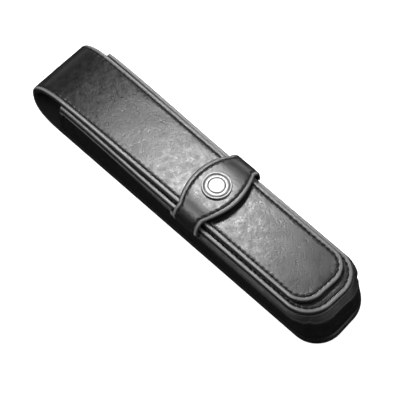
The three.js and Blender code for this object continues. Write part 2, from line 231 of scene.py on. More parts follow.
def finish_mesh(name, points, faces, grain=None, close=True, merge=MERGE, edge=None):
    """A mesh object from points in millimetres, with its flat leather coordinates kept.

    edge, from 0 to 1, is how far each point lies on a polished raised edge with a painted
    highlight."""
    mesh = bpy.data.meshes.new(name)
    mesh.from_pydata((np.asarray(points, float) * MM).tolist(), [], faces)
    layer = mesh.attributes.new("grain", "FLOAT_VECTOR", "POINT")
    source = np.asarray(points if grain is None else grain, float)
    layer.data.foreach_set("vector", (source * MM).astype(np.float32).ravel())
    polish_and_highlight_share = mesh.attributes.new("edge", "FLOAT", "POINT")
    if edge is not None:
        polish_and_highlight_share.data.foreach_set("value", np.asarray(edge, np.float32).ravel())
    work = bmesh.new()
    work.from_mesh(mesh)
    bmesh.ops.remove_doubles(work, verts=work.verts, dist=merge * MM)
    if close:
        rim = [side for side in work.edges if side.is_boundary]
        if rim:
            bmesh.ops.holes_fill(work, edges=rim, sides=0)
    bmesh.ops.recalc_face_normals(work, faces=work.faces)
    work.to_mesh(mesh)
    work.free()
    mesh.shade_smooth()
    mesh.set_sharp_from_angle(angle=math.radians(SHARP_ANGLE))
    piece = bpy.data.objects.new(name, mesh)
    bpy.context.scene.collection.objects.link(piece)
    return piece


def grid_faces(rows, columns, closed=False):
    """Quads over a grid of points, row by row; closed joins the last column to the first."""
    faces = []
    across = columns if closed else columns - 1
    for i in range(rows - 1):
        this, following = i * columns, (i + 1) * columns
        for j in range(across):
            k = (j + 1) % columns
            faces.append((this + j, this + k, following + k, following + j))
    return faces


# ---- Edge sections ---------------------------------------------------------------------------
# Each is a list of (inset from the edge, depth below the outer face), from the middle of the
# outer face, over the edge, to the middle of the inner face.
SEWN_TOP = [
    (9.0, -0.10), (6.0, -0.10), (4.6, -0.095), (3.9, -0.09), (3.4, -0.08), (3.0, -0.06),
    (2.75, -0.035), (2.5, -0.005), (2.3, 0.025), (2.1, 0.035), (1.9, 0.02), (1.72, -0.03),
    (1.55, -0.06), (1.35, -0.055), (1.15, -0.025), (0.95, 0.03), (0.75, 0.11), (0.55, 0.22),
    (0.36, 0.36), (0.2, 0.53), (0.08, 0.72), (0.0, 0.95),
]
LEATHER_SIDE = [(0.0, 1.25), (0.06, 1.5), (0.2, 1.68), (0.45, LEATHER_DEPTH)]
LINING_EDGE = [
    (9.0, LINING_DEPTH), (1.2, LINING_DEPTH), (0.5, LINING_DEPTH), (0.25, LINING_DEPTH + 0.05),
    (0.12, LINING_DEPTH + 0.14), (0.1, LINING_DEPTH + 0.24), (0.16, LINING_DEPTH + 0.34),
    (0.35, PANEL - 0.02), (0.8, PANEL), (3.0, PANEL), (9.0, PANEL),
]
BOARD_POCKET = 0.72     # depth of the hollow that the board fills in the leather's underside


def leather_section(pocket):
    """A sewn leather sheet; pocket leaves room for the board inside it."""
    recess = LEATHER_DEPTH - BOARD_POCKET
    if pocket:
        under = [(1.0, LEATHER_DEPTH), (3.9, LEATHER_DEPTH), (4.0, recess), (9.0, recess)]
    else:
        under = [(1.0, LEATHER_DEPTH), (4.0, LEATHER_DEPTH), (9.0, LEATHER_DEPTH)]
    return SEWN_TOP + LEATHER_SIDE + under


HOLE_DEPTH, HOLE_ALONG, HOLE_ACROSS = 0.45, 0.5, 0.42
# The leather puffs between the holes: height, inset and reach, inside the row and outside it.
PUFFS = ((0.04, 3.0, 0.45), (0.015, 1.5, 0.3))
CHANNEL_INNER = 2.5     # inset of the sewn channel's inner side
# Where a sewn edge is polished and painted lighter as a painted highlight: inset, spread and depth.
POLISH_HIGHLIGHT_INSET, POLISH_HIGHLIGHT_ACROSS, POLISH_HIGHLIGHT_DOWN = 0.85, 0.6, 0.35


def bell(distance, reach):
    return np.exp(-(distance / reach) ** 2)


def pucker(inset, along, pitch):
    """Depth added round the needle holes, and the puff of leather between them."""
    phase = np.asarray(along, float) / pitch
    off_hole = (phase - np.round(phase)) * pitch
    depth = HOLE_DEPTH * bell(off_hole, HOLE_ALONG) * bell(inset - STITCH_INSET, HOLE_ACROSS)
    between = 0.5 - 0.5 * np.cos(2 * math.pi * phase)
    for height, where, reach in PUFFS:
        depth = depth - height * between * bell(inset - where, reach)
    return depth


def inside_channel(inset):
    """0 out to the sewn channel, 1 well inside it."""
    return smoothstep((inset - CHANNEL_INNER) / 2)


def polish_and_highlight(inset, depth):
    """How far a point of a sewn sheet lies on its raised edge: polished, with a painted highlight.
    """
    return bell(inset - POLISH_HIGHLIGHT_INSET, POLISH_HIGHLIGHT_ACROSS) * bell(np.maximum(depth, 0), POLISH_HIGHLIGHT_DOWN)


def strip_piece(name, start, end, section, sewn, path=strip):
    """A closed length of a strip from start to end along it, straight across both ends."""
    step = PITCH / STEPS_PER_STITCH if sewn else FLAT_STEP
    stations = np.linspace(start, end, max(3, int(round((end - start) / step)) + 1))[:, None]
    half = path.half(stations)
    inset = np.minimum(np.array([inset for inset, _ in section]), half)
    depth = np.repeat([[depth for _, depth in section]], len(stations), 0)
    outer = len(SEWN_TOP) if sewn else 0
    depth[:, :outer] += pucker(inset[:, :outer], stations, PITCH)

    def part(along, y, down, lift):
        """Points and leather coordinates of some columns, lifted by their unevenness."""
        return path.at(along, y, down - lift), np.stack([along, y, -down], -1)

    sides = []
    for side in (-1, 1):
        y = side * (half - inset)
        lift = np.zeros_like(y)
        lift[:, :outer] = waviness(stations, y[:, :outer]) * inside_channel(inset[:, :outer])
        sides.append(part(np.repeat(stations, y.shape[1], 1), y, depth, lift))
    middle = 0 * stations
    outer_middle = depth[:, :1] - (waviness(stations, 0) if sewn else 0)
    first = part(stations, middle, outer_middle, 0)
    last = part(stations, middle, depth[:, -1:], 0)
    columns = [first, sides[0], last, [side[:, ::-1] for side in sides[1]]]
    points, grain = (np.concatenate(group, 1) for group in zip(*columns))
    edge = polish_and_highlight(inset, depth) if sewn else np.zeros(inset.shape)
    edge = np.concatenate([middle, edge, middle, edge[:, ::-1]], 1)
    faces = grid_faces(*points.shape[:2], closed=True)
    return finish_mesh(name, points.reshape(-1, 3), faces, grain.reshape(-1, 3), edge=edge)


# ---- Round-ended panels ----------------------------------------------------------------------
NEAR_SIDE, FIRST_CORNER, CLOSED_END, SECOND_CORNER, FAR_SIDE = range(5)


class Panel:
    """A panel seen from above: two tapering sides and a round-cornered closed end."""

    def __init__(self, start, end, half, corner):
        self.start, self.end, self.half, self.corner = start, end, half, corner
        self.centre_x = end - corner
        self.side_length = self.centre_x - start
        self.flat = float(half(self.centre_x)) - corner

    def stations(self, inset, step):
        """Points about every step along the edge at that inset: kind, share, marks and total.

        kind names the stretch each point lies on, from the -Y side round to the +Y side, share
        is how far along that stretch it lies and marks its distance from the start.
        """
        corner = (self.corner - inset) * math.pi / 2
        lengths = [self.side_length, corner, 2 * self.flat, corner, self.side_length]
        total = sum(lengths)
        count = max(8, int(round(total / step)))
        marks = np.linspace(0, total, count + 1)
        edges = np.concatenate([[0], np.cumsum(lengths)])
        kind = np.clip(np.searchsorted(edges, marks, side="right") - 1, NEAR_SIDE, FAR_SIDE)
        share = (marks - edges[kind]) / np.array(lengths)[kind]
        return kind, share, marks, total

    def ring(self, kind, share, inset):
        """Points (x, y) at those stations, set in by inset; negative insets stand out."""
        inset = np.broadcast_to(np.asarray(inset, float), kind.shape)
        radius = np.maximum(self.corner - inset, 0)
        half = self.half(self.centre_x)
        x, y = np.zeros(kind.shape), np.zeros(kind.shape)
        near, far = kind == NEAR_SIDE, kind == FAR_SIDE
        x = np.where(near, self.start + share * self.side_length, x)
        x = np.where(far, self.centre_x - share * self.side_length, x)
        y = np.where(near, -(self.half(x) - inset), y)
        y = np.where(far, self.half(x) - inset, y)
        for which, turn, begin in ((FIRST_CORNER, -1, -1), (SECOND_CORNER, 1, 0)):
            angle = (share + begin) * math.pi / 2
            here = kind == which
            x = np.where(here, self.centre_x + radius * np.cos(angle), x)
            y = np.where(here, turn * (half - self.corner) + radius * np.sin(angle), y)
        end = kind == CLOSED_END
        x = np.where(end, self.end - inset, x)
        y = np.where(end, (2 * share - 1) * self.flat, y)
        return x, y

    def inward(self, kind, share):
        """Where each station's row ends on the panel's middle line."""
        x, _ = self.ring(kind, share, 0)
        return np.minimum(x, self.centre_x), np.zeros(x.shape)


RIM = 6.0               # a panel's rows follow its edge this far in, then run to its middle
CORNER_MERGE = 0.01     # as MERGE, where the rows crowd together in the corners
TOP_SHARES = (1.0, 0.66, 0.33)
UNDER_SHARES = (0.0, 0.33, 0.66, 1.0)


def panel_piece(name, panel, section, place, sewn, polish_and_highlight_share=1.0):
    """A closed panel. place turns (x, y, depth) into a point; the last argument scales its edge
    polish and painted highlight.
    """
    step = PITCH / STEPS_PER_STITCH if sewn else FLAT_STEP
    kind, share, marks, total = panel.stations(STITCH_INSET, step)
    fitted = total / round(total / PITCH)
    base_x, base_y = panel.ring(kind, share, RIM)
    mid_x, mid_y = panel.inward(kind, share)
    outer = len(SEWN_TOP) if sewn else 0
    columns, grains, edges = [], [], []

    def column(x, y, depth, lift=0.0, inset=RIM):
        depth = depth + np.zeros(x.shape)
        edges.append(polish_and_highlight_share * polish_and_highlight(inset, depth) if sewn else np.zeros(x.shape))
        grains.append(np.stack([x, y, -depth], -1))
        columns.append(place(x, y, depth - lift))

    def field(shares, depth, rough):
        """Columns from the rim to the middle line, at those shares of the way."""
        for inward in shares:
            x = base_x + (mid_x - base_x) * inward
            y = base_y + (mid_y - base_y) * inward
            column(x, y, depth, waviness(x, y) if rough else 0.0)

    field(TOP_SHARES, section[0][1], sewn)
    for index, (inset, depth) in enumerate(section):
        if inset > RIM:
            continue
        x, y = panel.ring(kind, share, inset)
        lift = 0.0
        if index < outer:
            depth = depth + pucker(inset, marks + fitted / 2, fitted)
            lift = waviness(x, y) * inside_channel(inset)
        column(x, y, depth, lift, inset)
    field(UNDER_SHARES, section[-1][1], False)
    points, grain, edge = (np.stack(values, 1) for values in (columns, grains, edges))
    faces = grid_faces(*points.shape[:2])
    return finish_mesh(name, points.reshape(-1, 3), faces, grain.reshape(-1, 3),
                       merge=CORNER_MERGE, edge=edge)


# ---- Stitches --------------------------------------------------------------------------------
STITCH_SIDES = 8
STITCH_RINGS = 9
STITCH_RADIUS = 0.36
STITCH_WIDE, STITCH_FLAT = 1.08, 0.8    # its section is pressed a little flat
STITCH_DEPTH = 0.12     # how far below the leather's face the line of a row lies
STITCH_SUNK = 0.46      # how far below that line a stitch leaves its hole
STITCH_RISE = 0.52      # how far it arches up from there
STITCH_SLANT = 0.34     # how far it leans across the row
STITCH_FULLNESS = 0.65  # 1 would be a plain arc; less climbs faster out of the hole
STITCH_END, STITCH_SWELL = 0.55, 0.45   # its thickness at the holes, and what it gains between
STITCH_MERGE = 0.0001


def stitch_mesh(name, segments):
    """One joined mesh of separate stitches. Each segment is (start, end, up), with up the
    outward direction; the thread comes out of one hole, arches and goes down the next."""
    points, faces = [], []
    for begin, finish, up in segments:
        begin, finish, up = np.array(begin, float), np.array(finish, float), np.array(up, float)
        run = finish - begin
        length = np.linalg.norm(run)
        run /= length
        side = np.cross(up, run)
        side /= np.linalg.norm(side)
        base = len(points)
        for ring in range(STITCH_RINGS):
            t = ring / (STITCH_RINGS - 1)
            arch = math.sin(math.pi * t) ** STITCH_FULLNESS
            swell = STITCH_END + STITCH_SWELL * math.sin(math.pi * t) ** 0.5
            slant = (t - 0.5) * STITCH_SLANT
            centre = begin + run * (t * length) + side * slant
            centre = centre + up * (STITCH_RISE * arch - STITCH_SUNK)
            for k in range(STITCH_SIDES):
                angle = 2 * math.pi * k / STITCH_SIDES
                offset = side * math.cos(angle) * STITCH_WIDE + up * math.sin(angle) * STITCH_FLAT
                points.append(centre + offset * STITCH_RADIUS * swell)
        for ring in range(STITCH_RINGS - 1):
            for k in range(STITCH_SIDES):
                a = base + ring * STITCH_SIDES + k
                b = base + ring * STITCH_SIDES + (k + 1) % STITCH_SIDES
                faces.append((a, b, b + STITCH_SIDES, a + STITCH_SIDES))
        last = base + (STITCH_RINGS - 1) * STITCH_SIDES
        faces.append(tuple(base + k for k in reversed(range(STITCH_SIDES))))
        faces.append(tuple(last + k for k in range(STITCH_SIDES)))
    return finish_mesh(name, points, faces, close=False, merge=STITCH_MERGE)


def strip_stitches(name, start, end, path=strip):
    """Both rows of a length of a strip; a stitch belongs to the length that it begins in."""
    segments = []
    first, last = math.ceil(start / PITCH), math.ceil(end / PITCH)
    if path is not strip:
        last -= 1   # nothing goes on past a strap's end
    for k in range(first, last):
        for side in (-1, 1):
            ends = []
            for s in (k * PITCH, (k + 1) * PITCH):
                ends.append(path.at(s, side * float(path.half(s) - STITCH_INSET), STITCH_DEPTH))
            middle = (k + 0.5) * PITCH
            up = Vector(path.at(middle, 0, 0.0) - path.at(middle, 0, 1.0)).normalized()
            segments.append((ends[0], ends[1], up))
    return stitch_mesh(name, segments)


def panel_stitches(name, panel, place, up):
    """The U-shaped row of a panel, with its first hole half a stitch from the start."""
    _, _, _, total = panel.stations(STITCH_INSET, PITCH)
    fitted = total / round(total / PITCH)
    kind, share, _, _ = panel.stations(STITCH_INSET, fitted / 2)
    x, y = panel.ring(kind, share, STITCH_INSET)
    holes = place(x, y, np.full(x.shape, STITCH_DEPTH))[1::2]
    return stitch_mesh(name, [(begin, finish, up) for begin, finish in zip(holes, holes[1:])])


# ---- Materials -------------------------------------------------------------------------------
class Look:
    """A node material being built. A value is a number, a colour or another node's output.

    Texture scales are per metre and the heights of bumps in metres.
    """

    def __init__(self, name):
        self.material = bpy.data.materials.new(name)
        self.material.use_nodes = True
        self.nodes, self.links = self.material.node_tree.nodes, self.material.node_tree.links
        self.shader = self.nodes["Principled BSDF"]

    def give(self, socket, value):
        if isinstance(value, bpy.types.NodeSocket):
            self.links.new(value, socket)
        else:
            socket.default_value = value

    def surface(self, name, value):
        self.give(self.shader.inputs[name], value)

    def attribute(self, name):
        node = self.nodes.new("ShaderNodeAttribute")
        node.attribute_name = name
        return node

    def place(self):
        return self.nodes.new("ShaderNodeTexCoord").outputs["Object"]

    def texture(self, kind, source, **values):
        node = self.nodes.new(kind)
        self.links.new(source, node.inputs["Vector"])
        for name, value in values.items():
            node.inputs[name].default_value = value
        return node

    def noise(self, source, scale, detail, roughness=0.5):
        node = self.texture("ShaderNodeTexNoise", source, Scale=scale, Detail=detail,
                            Roughness=roughness)
        return node.outputs["Fac"]

    def calculate(self, operation, first, second):
        node = self.nodes.new("ShaderNodeMath")
        node.operation = operation
        self.give(node.inputs[0], first)
        self.give(node.inputs[1], second)
        return node.outputs[0]

    def add(self, first, second):
        return self.calculate("ADD", first, second)

    def times(self, first, second):
        return self.calculate("MULTIPLY", first, second)

    def remap(self, source, low_in, high_in, low_out, high_out):
        node = self.nodes.new("ShaderNodeMapRange")
        for socket, value in zip(node.inputs, (source, low_in, high_in, low_out, high_out)):
            self.give(socket, value)
        return node.outputs[0]

    def mix(self, factor, first, second):
        node = self.nodes.new("ShaderNodeMix")
        node.data_type = "RGBA"
        for index, value in ((0, factor), (6, first), (7, second)):
            self.give(node.inputs[index], value)
        return node.outputs[2]

    def emboss(self, height, strength, distance):
        node = self.nodes.new("ShaderNodeBump")
        for name, value in (("Height", height), ("Strength", strength), ("Distance", distance)):
            self.give(node.inputs[name], value)
        self.surface("Normal", node.outputs["Normal"])


def grey(value):
    return (value, value, value, 1.0)


def leather_material(name, tone, roughness, gloss, grain):
    """Dyed calf: fine pebbled grain with pores, cloudy finish, polished edges with a painted
    highlight.
    """
    look = Look(name)
    place = look.attribute("grain").outputs["Vector"]
    polish_and_highlight_share = look.attribute("edge").outputs["Fac"]
    pebbles = look.texture("ShaderNodeTexVoronoi", place, Scale=1500, Randomness=1.0)
    pebbles.feature = "SMOOTH_F1"
    creases = look.noise(place, 1300, 1.0)
    pores = look.noise(place, 2600, 2.0)
    clouds = look.noise(place, 300, 3.0, 0.8)
    height = look.add(look.times(pebbles.outputs["Distance"], -0.4), creases)
    height = look.add(height, look.times(pores, 0.15))
    height = look.add(height, look.times(clouds, 1.6))
    look.emboss(height, look.remap(polish_and_highlight_share, 0, 1, 0.46 * grain, 0.13 * grain), 0.00016)
    dyed = look.mix(look.remap(clouds, 0.3, 0.7, 0, 1), grey(tone * 0.75), grey(tone * 1.3))
    # The edge mask paints the beads far lighter than the dye: a painted highlight. The lower
    # roughness is real polish.
    look.surface("Base Color", look.mix(polish_and_highlight_share, dyed, grey(tone * 22)))
    satin = look.remap(clouds, 0.35, 0.65, roughness - 0.07, roughness + 0.07)
    speckled = look.add(satin, look.remap(pores, 0.3, 0.7, -0.02, 0.02))
    look.surface("Roughness", look.add(speckled, look.times(polish_and_highlight_share, -0.1)))
    look.surface("Specular IOR Level", gloss)
    return look.material


def lining_material(name, tone):
    """Brushed lining cloth: fine crossed threads under a soft nap."""
    look = Look(name)
    place = look.place()
    threads = []
    for direction in ("X", "Y"):
        wave = look.texture("ShaderNodeTexWave", place, Scale=900, Distortion=2.0)
        wave.bands_direction = direction
        threads.append(wave.outputs["Fac"])
    nap = look.noise(place, 1600, 4.0)
    look.emboss(look.add(look.add(*threads), nap), 0.4, 0.0001)
    look.surface("Base Color", look.mix(nap, grey(tone * 0.6), grey(tone * 1.4)))
    look.surface("Roughness", look.remap(nap, 0, 1, 0.75, 0.95))
    look.surface("Specular IOR Level", 0.25)
    return look.material


def thread_material(name, tone):
    """Waxed polyester: tight plies across each stitch."""
    look = Look(name)
    place = look.place()
    plies = look.texture("ShaderNodeTexWave", place, Scale=1200)
    plies.bands_direction = "DIAGONAL"
    fuzz = look.noise(place, 3000, 2.0)
    look.emboss(plies.outputs["Fac"], 0.5, 0.00008)
    look.surface("Base Color", look.mix(fuzz, grey(tone * 0.5), grey(tone * 1.5)))
    look.surface("Roughness", look.remap(fuzz, 0, 1, 0.65, 0.85))
    look.surface("Specular IOR Level", 0.2)
    return look.material


def board_material(name):
    """Pressed fibre board."""
    look = Look(name)
    fibres = look.noise(look.place(), 700, 8.0, 0.7)
    look.emboss(fibres, 1.0, 0.00005)
    look.surface("Base Color", look.mix(fibres, (0.16, 0.12, 0.08, 1), (0.34, 0.27, 0.19, 1)))
    look.surface("Roughness", 0.9)
    return look.material


def metal_material(name, tone, roughness, metallic=1.0):
    """Plated metal or enamel: fine hairlines and faint handling marks."""
    look = Look(name)
    place = look.place()
    marks = look.noise(place, 1400, 5.0, 0.7)
    smudge = look.noise(place, 260, 3.0)
    look.emboss(marks, 0.12, 0.00003)
    look.surface("Base Color", look.mix(smudge, grey(tone * 0.93), grey(tone * 1.04)))
    look.surface("Roughness", look.remap(smudge, 0.3, 0.7, roughness - 0.04, roughness + 0.06))
    look.surface("Metallic", metallic)
    return look.material


LEATHER = leather_material("calf_black", 0.008, 0.35, 0.5, grain=0.55)
WALL_LEATHER = leather_material("calf_black_matte", 0.004, 0.42, 0.3, grain=0.5)
LINING = lining_material("lining_black", 0.008)
THREAD = thread_material("thread_black", 0.006)
BOARD = board_material("fibre_board")
SILVER = metal_material("badge_silver", 0.34, 0.5)
ENAMEL = metal_material("enamel_black", 0.012, 0.3, metallic=0.0)
STEEL = metal_material("plate_steel", 0.6, 0.35)


def dress(piece, material, body, replaced=()):
    """Gives a piece its material and slot, hides the CAD nodes it stands for and ties it to its
    body;
    body None leaves it loose."""
    piece.data.materials.clear()
    piece.data.materials.append(material)
    if replaced:
        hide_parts(*replaced)
    if body:
        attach(piece, body)
    return piece


# ---- How the hand-made pouch stands out of true ----------------------------------------------
MOUTH_DIP = 0.3       # how far the front sinks at the open end
END_SKEW = 0.08       # the closed end stands a little off square, longer on the -Y side
FRONT_DRIFT = 0.8     # how far the pouch's open end leans out of line with the flap, to +Y
MOUTH_SKEW = 4.5      # how much further the front reaches at the open end's +Y corner
# Where along X each of these sets in, and over what length it comes on.
SKEW_FROM, SKEW_OVER = 30, 45
DRIFT_FROM, DRIFT_OVER = 10, 70
SLANT_FROM, SLANT_OVER = -38, 28
PAST_MOUTH_SINK, PAST_MOUTH_REACH = 0.03, 9


def skewed(x, y, share=1.0):
    """x with the closed end's skew; share is how much of it applies."""
    return x - END_SKEW * share * y * smoothstep((x - SKEW_FROM) / SKEW_OVER)


def drifted(x, y, share=1.0):
    """y with the open end's drift; share is how much of it applies."""
    return y + FRONT_DRIFT * share * smoothstep((DRIFT_FROM - x) / DRIFT_OVER)


def slanted(x, y, share=1.0):
    """x with the open end's slant; share is how much of it applies."""
    across = np.clip(0.5 + y / (2 * FRONT_HALF), 0, 1)
    return x - MOUTH_SKEW * share * across * smoothstep((SLANT_FROM - x) / SLANT_OVER)


def dip(x):
    """How far the front has sunk at x, as the flap above it does, and more past the mouth."""
    sunk = MOUTH_DIP * np.clip((MOUTH + Strip.DROOP_LENGTH - x) / Strip.DROOP_LENGTH, 0, 2) ** 2
    return sunk + PAST_MOUTH_SINK * np.clip(MOUTH - x, 0, PAST_MOUTH_REACH) ** 2


def under_face(x, y, depth):
    return np.stack([skewed(x, y), y, np.maximum(depth, 0.0)], -1)


def front_face(x, y, depth):
    reached = slanted(x, y)
    return np.stack([reached, drifted(x, y), FRONT_TOP - dip(reached) - depth], -1)


def flap_face(x, y, depth):
    return np.stack([x, y, FLAP_TOP - depth], -1)


# ---- Back ------------------------------------------------------------------------------------
back = Panel(MOUTH, END, back_half, BACK_CORNER)

# The back's edges get neither polish nor painted highlight.
dress(panel_piece("back_panel_leather", back, leather_section(True), under_face, True, polish_and_highlight_share=0.0),
      WALL_LEATHER, "pouch", ["back_leather"])
dress(panel_piece("back_panel_lining", back, LINING_EDGE, under_face, False),
      LINING, "pouch", ["back_lining"])
dress(panel_stitches("back_panel_stitches", back, under_face, (0, 0, -1)),
      THREAD, "pouch", ["back_thread"])

# ---- Front -----------------------------------------------------------------------------------
front = Panel(MOUTH, FRONT_END, front_half, FRONT_CORNER)

dress(panel_piece("front_panel_leather", front, leather_section(True), front_face, True),
      LEATHER, "pouch", ["front_leather"])
dress(panel_piece("front_panel_lining", front, LINING_EDGE, front_face, False),
      LINING, "pouch", ["front_lining"])
dress(panel_stitches("front_panel_stitches", front, front_face, (0, 0, 1)),
      THREAD, "pouch", ["front_thread"])


def mouth_stitches():
    """The single row across the front's open end."""
    reach = FRONT_HALF - 2 * STITCH_INSET
    count = int(2 * reach / PITCH)
    across = np.linspace(-reach, reach, count + 1)
    holes = front_face(np.full(across.shape, MOUTH + STITCH_INSET / 2), across, STITCH_DEPTH - 0.1)
    segments = [(begin, finish, (0, 0, 1)) for begin, finish in zip(holes, holes[1:])]
    return stitch_mesh("front_mouth_stitches", segments)


dress(mouth_stitches(), THREAD, "pouch", ["mouth_thread"])


# ---- Gusset ----------------------------------------------------------------------------------
GUSSET_MOUTH = low("gusset_leather", 0)
RIDGE_SIDE = 1.3      # how far the walls swell past the seams at the closed end of each side
RIDGE_END = 2.0       # the same across the closed end
LUG = 1.75            # how far the turned edge stands out under the keeper's feet
LUG_REACH, LUG_FADE = 7.2, 1.2    # half its length, and how much of that it fades out over
WALL_INNER = -2.85    # outset of the inner face
WALL_STEP = 0.5
TURN_DEPTH = 0.62     # how far below the wall's top its turned edge starts
RIDGE_FULL = 0.9      # the ridge gets polish and a painted highlight only where it stands out this far
# Edge mask on the wall's turned edge and ridge: polish, and a painted highlight in the colour.
TURN_POLISH_AND_HIGHLIGHT, RIDGE_POLISH_AND_HIGHLIGHT = 0.6, 0.3
# Folds in the side walls by the mouth: depth, distance from the mouth and reach.
FOLD_IN, FOLD_OUT = (0.35, 2.6, 0.35), (0.3, 1.0, 0.9)
# The pleat in each corner: depth, place and reach as shares of the turn, and its lean.
PLEAT_DEPTH, PLEAT_PLACE, PLEAT_REACH, PLEAT_LEAN = 0.7, 0.3, 0.05, 0.22


def gusset_section(rise, ridge, lug):
    """Outer face from bottom to top, then the inner face back, as (height, outset)."""
    crest = WALL_TOP - 0.9 - 0.75 * rise
    return [
        (WALL_LOW, -0.9), (WALL_LOW, -0.15), (WALL_LOW + 0.2, -0.03), (WALL_LOW + 0.55, -0.05),
        (WALL_LOW + 0.8, -0.25), (WALL_LOW + 1.05, -0.62), (WALL_LOW + 1.4, -0.6),
        (WALL_LOW + 2.6, -0.3), (7.0, -0.05 + 0.3 * ridge), (10.0, 0.5 * ridge),
        (crest - 1.6, 0.82 * ridge), (crest - 0.7, 0.95 * ridge), (crest - 0.25, ridge),
        (crest, ridge - 0.05), (crest + 0.12, ridge - 0.22),
        (WALL_TOP - 0.78, 0.35 * ridge - 0.42), (WALL_TOP - 0.66, -0.5 + lug),
        (WALL_TOP - 0.6, 0.0 + lug), (WALL_TOP - 0.45, 0.2 + lug), (WALL_TOP - 0.2, 0.22 + lug),
        (WALL_TOP - 0.02, 0.1 + lug), (WALL_TOP, -0.2 + lug),
        (WALL_TOP, WALL_INNER), (9.0, WALL_INNER), (WALL_LOW, WALL_INNER),
    ]


def side_fold(distance):
    """How far a side wall is folded in at that distance from the mouth."""
    inward, outward = (depth * bell(distance - where, reach)
                       for depth, where, reach in (FOLD_IN, FOLD_OUT))
    return inward - outward


def corner_pleat(turned, climb):
    """How deep the pleat in a corner is; it leans a little and dies away at both seams."""
    depth = PLEAT_DEPTH * bell(turned - PLEAT_PLACE - PLEAT_LEAN * climb, PLEAT_REACH)
    return depth * smoothstep((climb - 0.02) * 3) * (climb < 0.97)


def gusset_piece():
    """The walls: sections from the back's seam up to the front's, all round from the mouth."""
    lower = Panel(GUSSET_MOUTH, END, back_half, BACK_CORNER)
    upper = Panel(GUSSET_MOUTH, FRONT_END, front_half, FRONT_CORNER)
    kind, share, marks, _ = lower.stations(0, WALL_STEP)
    x, _ = lower.ring(kind, share, 0)
    along = np.clip((x - GUSSET_MOUTH) / (lower.centre_x - GUSSET_MOUTH), 0, 1)
    on_side = (kind == NEAR_SIDE) | (kind == FAR_SIDE)
    in_corner = (kind == FIRST_CORNER) | (kind == SECOND_CORNER)
    turned = np.where(kind == SECOND_CORNER, 1 - share, share)
    turned = np.where(on_side, 0.0, np.where(kind == CLOSED_END, 1.0, turned))
    ridge = RIDGE_SIDE * smoothstep(along * 1.1) + (RIDGE_END - RIDGE_SIDE) * smoothstep(turned)
    foot = smoothstep((LUG_REACH - np.abs(x - KEEPER_MID)) / LUG_FADE)
    lug = np.where(on_side, LUG * foot, 0.0)
    rows, grains, edges = [], [], []
    for i in range(len(kind)):
        row, grain, row_polish_and_highlight = [], [], []
        for z, outset in gusset_section(float(along[i]), float(ridge[i]), float(lug[i])):
            climb = (z - WALL_LOW) / (WALL_TOP - WALL_LOW)
            crease = 0.0
            if outset > WALL_INNER and on_side[i]:
                crease = side_fold(x[i] - GUSSET_MOUTH)
            if outset > WALL_INNER and in_corner[i]:
                crease = corner_pleat(turned[i], climb)
            one = np.array([kind[i]]), np.array([share[i]])
            low_x, low_y = (float(value[0]) for value in lower.ring(*one, crease - outset))
            high_x, high_y = (float(value[0]) for value in upper.ring(*one, crease - outset))
            px, py = low_x + (high_x - low_x) * climb, low_y + (high_y - low_y) * climb
            leant = float(drifted(px, py, climb))
            px = float(slanted(px, py, climb))
            row.append((float(skewed(px, py, 1 - climb)), leant, z - float(dip(px)) * climb))
            grain.append((marks[i], z * 1.1, outset))
            turned_edge = lug[i] == 0 and z > WALL_TOP - TURN_DEPTH
            on_ridge = ridge[i] > RIDGE_FULL and outset > ridge[i] - 0.1
            # The turned edge and the ridge are polished and painted lighter: a painted highlight.
            row_polish_and_highlight.append(TURN_POLISH_AND_HIGHLIGHT if turned_edge else RIDGE_POLISH_AND_HIGHLIGHT if on_ridge else 0.0)
        rows.append(row)
        grains.append(grain)
        edges.append(row_polish_and_highlight)
    points = np.array(rows)
    faces = grid_faces(*points.shape[:2], closed=True)
    grain = np.array(grains).reshape(-1, 3)
    return finish_mesh("gusset_walls", points.reshape(-1, 3), faces, grain, edge=np.array(edges))


dress(gusset_piece(), WALL_LEATHER, "pouch", ["gusset_leather"])

# ---- Flap ------------------------------------------------------------------------------------
FIRST_CUT = 6.5 * PITCH     # along the strip, between the rear and middle hinges
SECOND_CUT = 17.5 * PITCH   # between the middle and tongue hinges
tongue = Panel(MOUTH + SECOND_CUT, TIP, flap_half, TONGUE_CORNER)
plain, pocketed = leather_section(False), leather_section(True)

loop_parts = [
    dress(strip_piece("flap_loop_leather", -strip.length, FIRST_CUT, plain, True),
          LEATHER, None, ["fold_leather", "flap_rear_leather"]),
    dress(strip_piece("flap_loop_lining", -strip.length, FIRST_CUT, LINING_EDGE, False),
          LINING, None, ["fold_lining", "flap_rear_lining"]),
    dress(strip_stitches("flap_loop_stitches", -strip.length, FIRST_CUT), THREAD, None,
          ["fold_thread_near", "fold_thread_far", "flap_rear_thread_near", "flap_rear_thread_far"]),
]
arch_parts = [
    dress(strip_piece("flap_arch_leather", FIRST_CUT, SECOND_CUT, plain, True),
          LEATHER, None, ["flap_mid_leather"]),
    dress(strip_piece("flap_arch_lining", FIRST_CUT, SECOND_CUT, LINING_EDGE, False),
          LINING, None, ["flap_mid_lining"]),
    dress(strip_stitches("flap_arch_stitches", FIRST_CUT, SECOND_CUT), THREAD, None,
          ["flap_mid_thread_near", "flap_mid_thread_far"]),
]
tongue_parts = [
    dress(panel_piece("flap_tongue_leather", tongue, pocketed, flap_face, True),
          LEATHER, None, ["tongue_leather"]),
    dress(panel_piece("flap_tongue_lining", tongue, LINING_EDGE, flap_face, False),
          LINING, None, ["tongue_lining"]),
    dress(panel_stitches("flap_tongue_stitches", tongue, flap_face, (0, 0, 1)),
          THREAD, None, ["tongue_thread"]),
]


def bend(parts):
    """Bakes each part's placement into its mesh."""
    for part in parts:
        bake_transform(part)


bend(loop_parts)
bend(arch_parts)
bend(tongue_parts)

